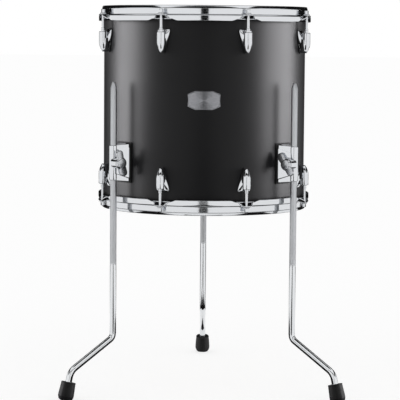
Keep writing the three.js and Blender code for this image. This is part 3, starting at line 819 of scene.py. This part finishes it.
# Half width of the leaf, which grows as a power of the height above the tip, with rounded upper corners
def leafHalfWidth(height):
    rise = (height - lug["tip"]) / (lug["leafTop"] - 2 - lug["tip"])
    corner = np.clip((height - lug["leafTop"] + lug["leafCorner"]) / lug["leafCorner"], 0, 1)
    cut = lug["leafCorner"] * (1 - np.sqrt(1 - corner ** 2))
    return lug["leafHalf"] * np.clip(rise, 0, 1) ** lug["leafPower"] - cut


def lugGrids():
    back, circle = shellRadius + lug["back"], shellRadius + rod["circle"]
    nose, notch, top = lug["nose"], lug["notch"], lug["noseTop"]
    height = lug["tip"] + (notch + 6 - lug["tip"]) * np.linspace(0, 1, 34) ** 1.7
    rise = np.clip((height - lug["tip"]) / lug["tipLength"], 0, 1)
    depth = lug["tipReach"] + (nose - lug["tipReach"]) * (1 - (1 - rise) ** 1.4)
    depth -= (nose + 6) * np.clip((height - notch) / 6, 0, 1) ** 1.5
    half = nose * rise ** lug["tipPower"]
    body = lugSections(height, back + 0 * height, circle - 2 + 0 * height, circle + depth, half,
                       lug["bodySection"])
    bullet = turned(roundedPath([(0, notch - 5, 0), (nose - 0.3, notch - 5, 0), (nose, notch - 3, 0),
                                 (nose, top, lug["topRound"]), (0, top, 0)]), 48)
    height = np.concatenate([lug["tip"] + (lug["leafTop"] - 3 - lug["tip"]) * np.linspace(0.02, 1, 30),
                             lug["leafTop"] - 3 * np.cos(np.linspace(0, np.pi / 2, 9)[1:])])
    slant = np.clip((height - notch) / (lug["leafTop"] - notch), 0, 1)
    front = shellRadius + lug["leafFoot"] + (lug["leafThick"] - lug["leafFoot"]) * slant
    front -= 1.0 * np.clip((height - lug["leafTop"] + 2) / 2, 0, 1) ** 2
    leaf = lugSections(height, back - 1.5 + 0 * height, back + 0 * height, front, leafHalfWidth(height),
                       lug["leafSection"])
    bore, outer = lug["sleeve"]
    high = lug["sleeveTop"]
    sleeve = turned(roundedPath([
        (bore, high - 8, 0), (bore, high, 0.2), (outer, high, 0.4), (outer, high - 2.4, 0.2),
        (outer - 0.35, high - 2.7, 0.1), (outer - 0.35, high - 3.3, 0.1), (outer, high - 3.6, 0.2),
        (outer, notch - 1, 0), (bore, notch - 1, 0),
    ], 4, closed=True), 36, closed=True)
    return [body, leaf] + [reshaped(grid, lambda x, y, z: (x + circle, y, z)) for grid in (bullet, sleeve)]


# Gasket under a lug: the lug's outline, a little wider, on the shell's curve
def lugGasketGrid():
    rise = (lug["leafTop"] - lug["tip"]) * np.sin(np.linspace(0, np.pi / 2, 34)) ** 2
    height = lug["tip"] + rise
    right = np.stack([leafHalfWidth(height), height], -1)
    outline = np.concatenate([right, right[::-1] * [-1, 1]])
    keep = np.hypot(*(outline - np.roll(outline, 1, 0)).T) > 0.05
    seat = shellRadius + 0.3
    margin, top, edge = lug["gasketMargin"], seat + lug["gasket"], 0.3
    rows = [(-margin, seat), (-margin, top - edge), (-margin + edge, top)]
    grid = slab(outline[keep], rows)
    return reshaped(grid, lambda y, z, level: (np.sqrt(level ** 2 - y ** 2), y, z))


def makeLugsAndRods(end, edge, turnedOver):
    lugParts, rodParts, gasket = lugGrids(), rodGrids(), lugGasketGrid()
    circle = shellRadius + rod["circle"]
    rodParts = [reshaped(grid, lambda x, y, z: (x + circle, y, z)) for grid in rodParts]
    for i, degrees in enumerate(lugAngles):
        number = str(i + 1)
        makePiece(end + "Lug" + number, [onShell(g, degrees, edge, turnedOver) for g in lugParts],
                  chrome, "drum_body", [f"{end}_lug_{number}"], 38)
        makePiece(end + "LugGasket" + number, [onShell(gasket, degrees, edge, turnedOver)],
                  rubber, "drum_body")
        makePiece(end + "TensionRod" + number, [onShell(g, degrees, edge, turnedOver) for g in rodParts],
                  chrome, f"{end}_rod_{number}", [f"{end}_tension_rod_{number}"], 38)


for end, edge, turnedOver in (("batter", upperEdge, False), ("resonant", lowerEdge, True)):
    makeHoop(end, edge, turnedOver)
    makeHead(end, edge, turnedOver)
    makeFleshHoop(end, edge, turnedOver)
    makeLugsAndRods(end, edge, turnedOver)
print("hoops, heads, lugs and rods made")


# Leg bracket: a wedge that narrows from its base to the leg, a spine that stands out of it to the full
# height, a boss round the leg and a boss for the clamp screw. Local X runs outward, Y round the shell, Z up
bracket = {
    "middle": lowerEdge + 86,
    "seat": 2.55,  # from the shell's outside
    "baseThick": 2.1,
    "legOut": 26.8,
    "base": [(12.5, 38), (21, 29)],  # corners of a quarter of the outline: half width, half height
    "nose": [(6.5, 26), (8.2, 21)],
    "spineBase": (19.4, 36), "spineNose": (7.9, 34),
    "bossRadius": 8.75, "bore": 6.65, "bossHalf": 34, "bossRound": 1.2,
    "screwRadius": 10.5, "screwStart": 4, "screwReach": 20.5,
    "bevel": 0.55,
}


def wholeOutline(quarter):
    right = [(y, -z) for y, z in quarter] + [(y, z) for y, z in quarter[::-1]]
    corners = np.array(right + [(-y, z) for y, z in right[::-1]], float)
    share = np.linspace(0, 1, 9)[:-1, None]
    return np.concatenate([a + (b - a) * share for a, b in zip(corners, np.roll(corners, -1, 0))])


# Loft from one outline to another along X, whose foot lies on the shell's curve
def castLoft(base, nose, endX):
    seat = shellRadius + bracket["seat"]
    baseX = seat + bracket["baseThick"]
    foot = np.sqrt(seat ** 2 - base[:, 0] ** 2)
    rings = [
        np.stack([foot * 0 + foot.min(), 0 * foot, 0 * foot], -1),
        np.stack([foot, base[:, 0], base[:, 1]], -1),
        np.stack([foot * 0 + baseX, base[:, 0], base[:, 1]], -1),
        np.stack([foot * 0 + endX, nose[:, 0], nose[:, 1]], -1),
        np.stack([foot * 0 + endX, 0 * foot, 0 * foot], -1),
    ]
    return gridOf(np.array(rings))


def makeBrackets():
    legX = shellRadius + bracket["legOut"]
    wedge = castLoft(wholeOutline(bracket["base"]), wholeOutline(bracket["nose"]), legX)
    spine = castLoft(wholeOutline([bracket["spineBase"]]), wholeOutline([bracket["spineNose"]]), legX)
    high, edge = bracket["bossHalf"], bracket["bossRound"]
    boss = turned(roundedPath([(0, -high, 0), (bracket["bossRadius"], -high, edge),
                               (bracket["bossRadius"], high, edge), (0, high, 0)]), 64)
    boss = reshaped(boss, lambda x, y, z: (x + legX, y, z))
    radius, start, reach = bracket["screwRadius"], bracket["screwStart"], bracket["screwReach"]
    corners = [(0, start, 0), (radius, start, 0), (radius, reach, 1.0), (0, reach, 0)]
    screwBoss = turned(roundedPath(corners), 64)
    screwBoss = reshaped(screwBoss, lambda x, y, z: (x + legX, z, -y))
    bore = turned(np.array([(0, -60), (bracket["bore"], -60), (bracket["bore"], 60), (0, 60)]), 48)
    bore = reshaped(bore, lambda x, y, z: (x + legX, y, z))
    for place, degrees in legPlaces.items():
        name, turnedOver = place + "LegBracket", place == turnedPlace
        parts = [onShell(g, degrees, bracket["middle"], turnedOver) for g in (wedge, spine, boss, screwBoss)]
        mesh = carvedMesh(name, parts, [onShell(bore, degrees, bracket["middle"], turnedOver)])
        piece = addPiece(name, mesh, chrome, "drum_body", [place + "_leg_bracket"], 25)
        bevel = piece.modifiers.new("edges", "BEVEL")
        bevel.width = bracket["bevel"] * mm
        bevel.segments = 2
        bevel.limit_method = "ANGLE"
        bevel.angle_limit = math.radians(24)
        bevel.harden_normals = True


# Wing bolt: screw, domed hub and two flat rounded wings, along Y from the leg's axis
wingBolt = {
    "tip": 11.8, "screw": 4.0, "hubStart": 21.4, "hub": 12.0, "hubLength": 5.0, "dome": 3.0,
    "span": 52, "tipWidth": 15, "waist": 13, "thick": 5.0, "edge": 1.6,
    "tilts": {"front_left": 16, "front_right": 39, "back": 24},
}


# Wing outline: half width w(z) = waist + (tip - waist) * smooth(|z| / shoulder), with elliptical ends
def wingOutline():
    half, tip, waist = wingBolt["span"] / 2, wingBolt["tipWidth"] / 2, wingBolt["waist"] / 2
    height = half * np.sin(np.linspace(-np.pi / 2, np.pi / 2, 61))
    width = waist + (tip - waist) * smoothStep(np.abs(height) / (half - tip))
    close = np.clip((np.abs(height) - half + tip) / tip, 0, 1)
    width *= np.sqrt(1 - close ** 2.4)
    right = np.stack([width, height], -1)
    return np.concatenate([right, right[-2:0:-1] * [-1, 1]])


def makeWingBolts():
    legX = shellRadius + bracket["legOut"]
    start, radius = wingBolt["hubStart"], wingBolt["hub"]
    rest = start + wingBolt["hubLength"]
    profile = roundedPath([
        (0, wingBolt["tip"], 0), (wingBolt["screw"], wingBolt["tip"], 0.5), (wingBolt["screw"], start, 0),
        (radius, start, 0.8), (radius, rest, 1.5), (radius - 2.5, rest + wingBolt["dome"], 2.5),
        (0, rest + wingBolt["dome"] + 0.4, 0),
    ])
    body = reshaped(turned(profile, 56), lambda x, y, z: (x, z, -y))
    half, edge = wingBolt["thick"] / 2, wingBolt["edge"]
    arc = np.linspace(0, np.pi / 2, 6)
    lower = [(edge * (1 - math.sin(a)), -half + edge * (1 - math.cos(a))) for a in arc]
    upper = [(inset, -level) for inset, level in lower[::-1]]
    wings = slab(wingOutline(), lower + upper)
    wings = reshaped(wings, lambda a, b, level: (a, level + rest, b))
    for place, degrees in legPlaces.items():
        tilt = math.radians(wingBolt["tilts"][place])
        grids = [reshaped(g, lambda x, y, z: (
            legX + x * math.cos(tilt) + z * math.sin(tilt), y, z * math.cos(tilt) - x * math.sin(tilt)))
            for g in (body, wings)]
        grids = [onShell(g, degrees, bracket["middle"], place == turnedPlace) for g in grids]
        makePiece(place + "WingBolt", grids, castMetal, place + "_bolt", [place + "_wing_bolt"], 38)


# Leg: a rod carried along a path of straights and arcs, with a pointed upper end.
# The path lies in the plane of local X and Z, so a ring is centre + radius * (cos t * side + sin t * Y)
leg = {
    "radius": 6.35, "top": 158, "taper": 12, "tipRadius": 3.0,
    "reach": 102, "toeHeight": 56, "slantDrop": 57, "toeTilt": 14, "kneeBend": 15, "toeBend": 26,
    "footFloor": 8.3,  # from the floor to the leg's end, inside the foot
}


def legPath():
    legX = shellRadius + bracket["legOut"]
    toeX, toeZ = legX + leg["reach"], leg["toeHeight"]
    tilt = math.radians(leg["toeTilt"])
    length = toeZ / math.cos(tilt) - leg["footFloor"]
    top = bracket["middle"] + leg["top"]
    path = roundedPath([
        (legX, top - leg["taper"], 0), (legX, toeZ + leg["slantDrop"], leg["kneeBend"]),
        (toeX, toeZ, leg["toeBend"]), (toeX + length * math.sin(tilt), toeZ - length * math.cos(tilt), 0),
    ], 14)
    return path, top


def legGrid():
    path, top = legPath()
    straight = path[:1] + (path[1] - path[0]) * np.linspace(0, 1, 12)[:-1, None]
    path = np.concatenate([straight, path[1:]])
    taper = leg["taper"] * np.array([0.97, 0.9, 0.6, 0.3, 0.0])
    cone = np.stack([path[0, 0] + 0 * taper, top - leg["taper"] + taper], -1)
    path = np.concatenate([cone, path])
    radius = np.full(len(path), leg["radius"])
    radius[:5] = leg["radius"] - (leg["radius"] - leg["tipRadius"]) * (taper / leg["taper"]) ** 1.15
    radius[0] -= 0.6
    direction = np.gradient(path, axis=0)
    direction[:5] = (0, -1)
    direction /= np.hypot(*direction.T)[:, None]
    angle = np.linspace(0, 2 * np.pi, 32, endpoint=False)
    side = np.stack([-direction[:, 1], direction[:, 0]], -1)
    x = path[:, :1] + radius[:, None] * side[:, :1] * np.cos(angle)
    z = path[:, 1:] + radius[:, None] * side[:, 1:] * np.cos(angle)
    y = radius[:, None] * np.sin(angle)
    points = np.stack([x, y, z], -1)
    run = np.concatenate([[0], np.cumsum(np.hypot(*np.diff(path, axis=0).T))])
    run = np.concatenate([run[:1], run, run[-1:]])
    return capped(points), run, len(angle)


# UV of each quad's corners in metres: round the rod, and along its path
def addRodUv(mesh, run, columns):
    girth = np.linspace(0, 2 * np.pi * leg["radius"], columns + 1)
    left, right = np.meshgrid(run[:-1], girth[:-1], indexing="ij")
    low, far = np.meshgrid(run[1:], girth[1:], indexing="ij")
    u = np.stack([right, far, far, right], -1)
    v = np.stack([left, left, low, low], -1)
    layer = mesh.uv_layers.new(name="round")
    layer.data.foreach_set("uv", (np.stack([u, v], -1) * mm).ravel())


# Rubber foot: a turned bulb with soft flats round it, on the leg's tilted end, pressed flat on the floor
foot = {
    "height": 37, "bore": 6.4, "boreFloor": 30, "flats": 10, "flatDepth": 0.022,
    "bulb": [  # radius, height and rounding, up to the rim
        (0, 0, 0), (8.6, 0, 2.0), (13.6, 2.9, 3.5), (15.65, 8.6, 5), (15.65, 14.0, 8),
        (15.0, 24, 14), (14.0, 34.3, 1), (14.3, 35.2, 0.4),
    ],
    "rim": 13.9,
}


def footGrid():
    height, bore, boreFloor = foot["height"], foot["bore"], foot["boreFloor"]
    inside = [(foot["rim"], height, 0.7), (bore, height, 0.4), (bore, boreFloor, 0), (0, boreFloor, 0)]
    points, quads = turned(roundedPath(foot["bulb"] + inside, 6), 80)
    angle = np.arctan2(points[:, 1], points[:, 0]) * foot["flats"] / 2
    ring = np.hypot(points[:, 0], points[:, 1])
    depth = foot["flatDepth"] * np.clip((ring - 9) / 4, 0, 1) * np.clip((34 - points[:, 2]) / 3, 0, 1)
    points[:, :2] *= (1 - depth * np.abs(np.cos(angle)))[:, None]
    tilt = math.radians(leg["toeTilt"])
    legX = shellRadius + bracket["legOut"]
    baseX = legX + leg["reach"] + leg["toeHeight"] * math.tan(tilt)
    return reshaped((points, quads), lambda x, y, z: (
        baseX + x * math.cos(tilt) - z * math.sin(tilt),
        y,
        np.maximum(z * math.cos(tilt) + x * math.sin(tilt), 0),
    ))


def makeLegs():
    grid, run, columns = legGrid()
    bulb = footGrid()
    for place, degrees in legPlaces.items():
        body = place + "_leg_and_foot"
        mesh = meshOf(place + "Leg", *onShell(grid, degrees, 0))
        addRodUv(mesh, run, columns)
        closeMesh(mesh)
        addPiece(place + "Leg", mesh, steel, body, [place + "_leg"])
        makePiece(place + "RubberFoot", [onShell(bulb, degrees, 0)],
                  rubber, body, [place + "_rubber_foot"])


makeBrackets()
makeWingBolts()
makeLegs()
print("brackets, wing bolts, legs and feet made")


# Badge: a bare brushed plate with a raised border, flat top and bottom, sloping shoulders and hollow sides
badge = {
    "middle": upperEdge - 170.5, "width": 63, "height": 36.5, "corner": 12, "top": 17, "waist": 30.4,
    "plate": 0.75, "border": 1.25, "borderWidth": 1.7, "edge": 0.35,
}


def badgeGrid():
    half, tall = badge["width"] / 2, badge["height"] / 2
    quarter = [(badge["waist"], 0, 8), (half, badge["corner"], 0.8), (badge["top"], tall, 2)]
    right = [(y, -z, r) for y, z, r in quarter[::-1]][:-1] + quarter
    corners = right + [(-y, z, r) for y, z, r in right[::-1]]
    path = roundedPath(corners, 7, closed=True)
    share = np.linspace(0, 1, 5)[:-1, None]
    outline = np.concatenate([a + (b - a) * share for a, b in zip(path, np.roll(path, -1, 0))])
    seat, plateTop, rim = shellRadius + 0.3, badge["plate"], badge["border"]
    wide, edge = badge["borderWidth"], badge["edge"]
    rows = [
        (edge, seat), (0, seat + edge), (0, seat + rim - edge), (edge, seat + rim),
        (wide - edge, seat + rim), (wide, seat + rim - edge / 2), (wide + 0.2, seat + plateTop),
        (wide + 4, seat + plateTop), (wide + 9, seat + plateTop),
    ]
    grid = slab(outline, rows)
    return reshaped(grid, lambda y, z, level: (np.sqrt(level ** 2 - y ** 2), y, z))


# Vent grommet: a tube through the shell with a rounded flange outside and a flat one inside
grommet = {"bore": 5.0, "tube": 5.8, "flange": 9.0, "thick": 1.4, "innerFace": -8.3}


def grommetGrid():
    inside = shellRadius + grommet["innerFace"]
    outside = shellRadius + 0.3
    profile = roundedPath([
        (grommet["bore"], inside - grommet["thick"], 0.5),
        (grommet["flange"], inside - grommet["thick"], 0.4),
        (grommet["flange"], inside, 0.2), (grommet["tube"], inside, 0.1), (grommet["tube"], outside, 0.1),
        (grommet["flange"], outside, 0.3), (grommet["flange"] - 1.0, outside + grommet["thick"], 0.9),
        (grommet["bore"], outside + grommet["thick"], 0.7),
    ], 5, closed=True)
    return reshaped(turned(profile, 56, closed=True), lambda x, y, z: (z, x, y))


makePiece("blankBadge", [onShell(badgeGrid(), 0, badge["middle"])],
          plate, "drum_body", ["badge"], 30)
makePiece("ventGrommet", [onShell(grommetGrid(), shell["ventAngle"], (lowerEdge + upperEdge) / 2)],
          chrome, "drum_body", ["vent_grommet"])
for place in legPlaces:
    for node, material in ((place + "_bracket_gasket", rubber), (place + "_clamp_jaw", jawSteel)):
        mesh = frame["nodes"][node].data
        mesh.materials.clear()
        mesh.materials.append(material)
print("badge and vent made")


# Pale floor, white surround, two tall soft lights beside the drum, and dark cards that shape the reflections
studio = {
    "ambient": 0.72,  # light from the surround on matte surfaces
    "floor": "#f4f4f4",
    "floorReach": 60,
    "floorShadow": 0.45,  # share of the floor's look that takes shadows
    "floorGlow": 1.25,
    "sideLights": [(-93.5, 1.75, 168), (91, 2.2, 222)],  # angle from the front, width, watts
    "sideColour": (0.98, 0.97, 1.0),
    "sideDistance": 2.6, "sideTall": 2.4, "sideHeight": 0.75,
    "cards": [  # centre angle from the front, distance, width, low, high
        (0, 5.2, 0.75, -0.2, 4.0),
        (180, 3.2, 8.4, 0.02, 6.0),
        (0, 3.0, 6.2, 2.1, 3.0),
        (95, 3.0, 5.6, 1.35, 3.0),
        (-95, 3.0, 5.6, 1.35, 3.0),
    ],
    "levelCards": {  # height, lowest and highest x, nearest and farthest y
        "Overhead": (1.9, -0.8, 0.8, -0.86, 0.74),
        "Underfoot": (0.004, -0.2, 0.2, -0.64, 0.12),
        "LowLeft": (0.004, -0.72, -0.2, -0.57, 0.5),
        "LowRight": (0.004, 0.2, 0.72, -0.57, 0.5),
        "Behind": (0.006, -2.6, 2.6, 0.75, 3.2),
        "Ahead": (0.006, -0.34, 0.34, -4.6, -0.9),
    },
}


def makeSurround():
    world = bpy.data.worlds.new("whiteSurround")
    bpy.context.scene.world = world
    world.use_nodes = True
    tree = world.node_tree
    tree.nodes.clear()
    ray = addNode(tree, "ShaderNodeLightPath")
    seen = addNode(tree, "ShaderNodeMath", {"operation": "MAXIMUM"},
                   {0: ray.outputs["Is Camera Ray"], 1: ray.outputs["Is Glossy Ray"]})
    seen = addNode(tree, "ShaderNodeMath", {"operation": "MAXIMUM"},
                   {0: seen.outputs[0], 1: ray.outputs["Is Transmission Ray"]})
    strength = addNode(
        tree, "ShaderNodeMapRange",
        {"To Min": studio["ambient"], "To Max": 1.0},
        {"Value": seen.outputs[0]},
    )
    shine = addNode(tree, "ShaderNodeBackground", {"Color": (1, 1, 1, 1)}, {"Strength": strength.outputs[0]})
    addNode(tree, "ShaderNodeOutputWorld", links={"Surface": shine.outputs[0]})


def makeFloor():
    mesh = bpy.data.meshes.new("studioFloor")
    reach = studio["floorReach"]
    corners = [(-reach, -reach, 0), (reach, -reach, 0), (reach, reach, 0), (-reach, reach, 0)]
    mesh.from_pydata(corners, [], [(0, 1, 2, 3)])
    floor = bpy.data.objects.new("studioFloor", mesh)
    bpy.context.scene.collection.objects.link(floor)
    material, tree = newMaterial("paleFloor")
    ray = addNode(tree, "ShaderNodeLightPath")
    seen = addNode(tree, "ShaderNodeMath", {"operation": "MAXIMUM"},
                   {0: ray.outputs["Is Camera Ray"], 1: ray.outputs["Is Glossy Ray"]})
    share = addNode(
        tree, "ShaderNodeMath",
        {"operation": "MULTIPLY", 1: 1 - studio["floorShadow"]},
        {0: seen.outputs[0]},
    )
    matte = addNode(tree, "ShaderNodeBsdfDiffuse", {"Color": toLinear(studio["floor"])})
    white = addNode(tree, "ShaderNodeEmission", {"Color": (1, 1, 1, 1), "Strength": studio["floorGlow"]})
    both = addNode(tree, "ShaderNodeMixShader",
                   links={0: share.outputs[0], 1: matte.outputs[0], 2: white.outputs[0]})
    outputOf(tree, both)
    mesh.materials.append(material)


# They shine only in the dark pieces, because the chrome has its own cards to mirror
def makeSideLights():
    darkPieces = bpy.data.collections.new("darkPieces")
    for piece in bpy.data.objects:
        if piece.type == "MESH" and piece.data.materials and piece.data.materials[0] in (lacquer, rubber):
            darkPieces.objects.link(piece)
    for degrees, width, watts in studio["sideLights"]:
        data = bpy.data.lights.new("sideLight", "AREA")
        data.shape = "RECTANGLE"
        data.size, data.size_y = width, studio["sideTall"]
        data.energy = watts
        data.color = studio["sideColour"]
        light = bpy.data.objects.new("sideLight", data)
        angle = math.radians(degrees)
        light.location = (drumAxis[0] + studio["sideDistance"] * math.sin(angle),
                          drumAxis[1] - studio["sideDistance"] * math.cos(angle), studio["sideHeight"])
        light.rotation_euler = (math.pi / 2, 0, angle)
        light.visible_diffuse = False
        light.light_linking.receiver_collection = darkPieces
        bpy.context.scene.collection.objects.link(light)


# A card is seen only in reflections
def addCard(name, material, corners):
    mesh = bpy.data.meshes.new(name)
    mesh.from_pydata([tuple(c) for c in corners], [], [(0, 1, 2, 3)])
    mesh.materials.append(material)
    card = bpy.data.objects.new(name, mesh)
    bpy.context.scene.collection.objects.link(card)
    card.visible_camera = False
    card.visible_diffuse = False
    card.visible_shadow = False


def makeCards():
    material, tree = newMaterial("blackCard")
    outputOf(tree, addNode(tree, "ShaderNodeBsdfDiffuse", {"Color": toLinear("#1c1c1c")}))
    for i, (degrees, distance, width, low, high) in enumerate(studio["cards"]):
        angle = math.radians(degrees)
        out = np.array([math.sin(angle), -math.cos(angle), 0])
        across = np.array([math.cos(angle), math.sin(angle), 0]) * width / 2
        middle = drumAxis + out * distance
        addCard(f"studioCard{i}", material, [
            middle - across + [0, 0, low], middle + across + [0, 0, low],
            middle + across + [0, 0, high], middle - across + [0, 0, high]])
    for name, (height, left, right, near, far) in studio["levelCards"].items():
        addCard("studio" + name, material, [
            (left, near, height), (right, near, height), (right, far, height), (left, far, height)])


# Camera fitted to the photograph: far away, a little below the upper hoop, tilted down
camera = {
    "aside": 0.0046, "distance": 3.6766, "height": 0.7064, "lens": 162.8,
    "down": 5.191, "left": 0.221, "roll": -0.4525,  # degrees
}


def makeCamera():
    data = bpy.data.cameras.new("camera")
    data.lens = camera["lens"]
    data.sensor_width = 36
    eye = bpy.data.objects.new("camera", data)
    eye.location = (drumAxis[0] + camera["aside"], drumAxis[1] - camera["distance"], camera["height"])
    turns = (90 - camera["down"], camera["roll"], camera["left"])
    eye.rotation_euler = [math.radians(turn) for turn in turns]
    bpy.context.scene.collection.objects.link(eye)
    bpy.context.scene.camera = eye


makeSurround()
makeFloor()
makeSideLights()
makeCards()
makeCamera()
bpy.context.scene.view_settings.view_transform = "Standard"
print("studio made")
